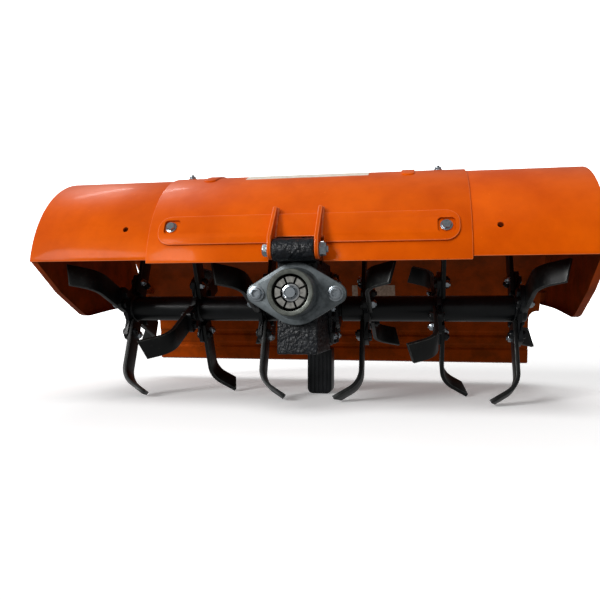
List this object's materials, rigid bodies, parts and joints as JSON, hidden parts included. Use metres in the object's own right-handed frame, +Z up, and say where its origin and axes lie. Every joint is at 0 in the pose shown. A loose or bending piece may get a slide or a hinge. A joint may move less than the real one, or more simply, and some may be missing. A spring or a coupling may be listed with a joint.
{
  "type": "rotavator for a walking tractor",
  "caption": "Mid-driven rotavator for a walking tractor: an orange hood and rear flap over a rotor of bent tines, with a two-bolt coupling flange and a dog clutch in front.",
  "frame": {"origin": "centre of the bounding box, on the floor that the tine tips and the depth foot stand on", "axes": "+X to the right along the rotor, +Y to the rear where the flap hangs, +Z up; the coupling flange faces -Y"},
  "size_m": [1, 0.6174, 0.4475],
  "materials": {
    "orange_enamel": "gloss enamel on rolled sheet steel",
    "black_enamel": "satin black enamel on steel",
    "tine_steel": "satin black paint on forged spring steel, worn at the cutting edges",
    "black_casting": "blue-black paint on rough sand-cast iron",
    "grey_casting": "bare grey iron casting, machined on its faces",
    "zinc_steel": "bright zinc plate",
    "clutch_steel": "machined steel"
  },
  "bodies": {
    "frame": {"hood_centre": "orange_enamel", "hood_wing_left": "orange_enamel", "hood_wing_right": "orange_enamel", "side_plate_left": "orange_enamel", "side_plate_right": "orange_enamel", "stiffener_bar": "orange_enamel", "hood_ear_left": "orange_enamel", "hood_ear_right": "orange_enamel", "hinge_strip": "orange_enamel", "gearbox_case": "black_casting", "gearbox_cover_left": "black_casting", "gearbox_cover_right": "black_casting", "coupling_flange": "grey_casting", "hood_rib": "black_enamel", "depth_foot": "black_enamel", "foot_arm": "black_enamel", "ear_bolt": "zinc_steel", "hinge_rod": "zinc_steel"},
    "rotor": {"rotor_shaft": "black_enamel", "rotor_tube_left": "black_enamel", "rotor_tube_right": "black_enamel", "blade_flange_1": "black_enamel", "blade_flange_2": "black_enamel", "blade_flange_3": "black_enamel", "blade_flange_4": "black_enamel", "blade_flange_5": "black_enamel", "blade_flange_6": "black_enamel", "tine_1_down": "tine_steel", "tine_1_rear": "tine_steel", "tine_1_up": "tine_steel", "tine_1_front": "tine_steel", "tine_2_down": "tine_steel", "tine_2_rear": "tine_steel", "tine_2_up": "tine_steel", "tine_2_front": "tine_steel", "tine_3_down": "tine_steel", "tine_3_rear": "tine_steel", "tine_3_up": "tine_steel", "tine_3_front": "tine_steel", "tine_4_down": "tine_steel", "tine_4_rear": "tine_steel", "tine_4_up": "tine_steel", "tine_4_front": "tine_steel", "tine_5_down": "tine_steel", "tine_5_rear": "tine_steel", "tine_5_up": "tine_steel", "tine_5_front": "tine_steel", "tine_6_down": "tine_steel", "tine_6_rear": "tine_steel", "tine_6_up": "tine_steel", "tine_6_front": "tine_steel"},
    "input": {"input_clutch": "clutch_steel"},
    "flap": {"rear_flap": "orange_enamel"}
  },
  "joints": [
    {"name": "rotor_spin", "type": "hinge", "parent": "frame", "child": "rotor", "pos_m": [0, -0.0375, 0.18027], "axis": [1, 0, 0], "continuous": true},
    {"name": "input_spin", "type": "hinge", "parent": "frame", "child": "input", "pos_m": [0, -0.0375, 0.20227], "axis": [0, 1, 0], "continuous": true},
    {"name": "flap_hinge", "type": "hinge", "parent": "frame", "child": "flap", "pos_m": [0, 0.14104, 0.32944], "axis": [1, 0, 0], "range_deg": [0, 60]}
  ],
  "couplings": [
    {"joint": "input_spin", "follows": "rotor_spin", "ratio": 3}
  ]
}
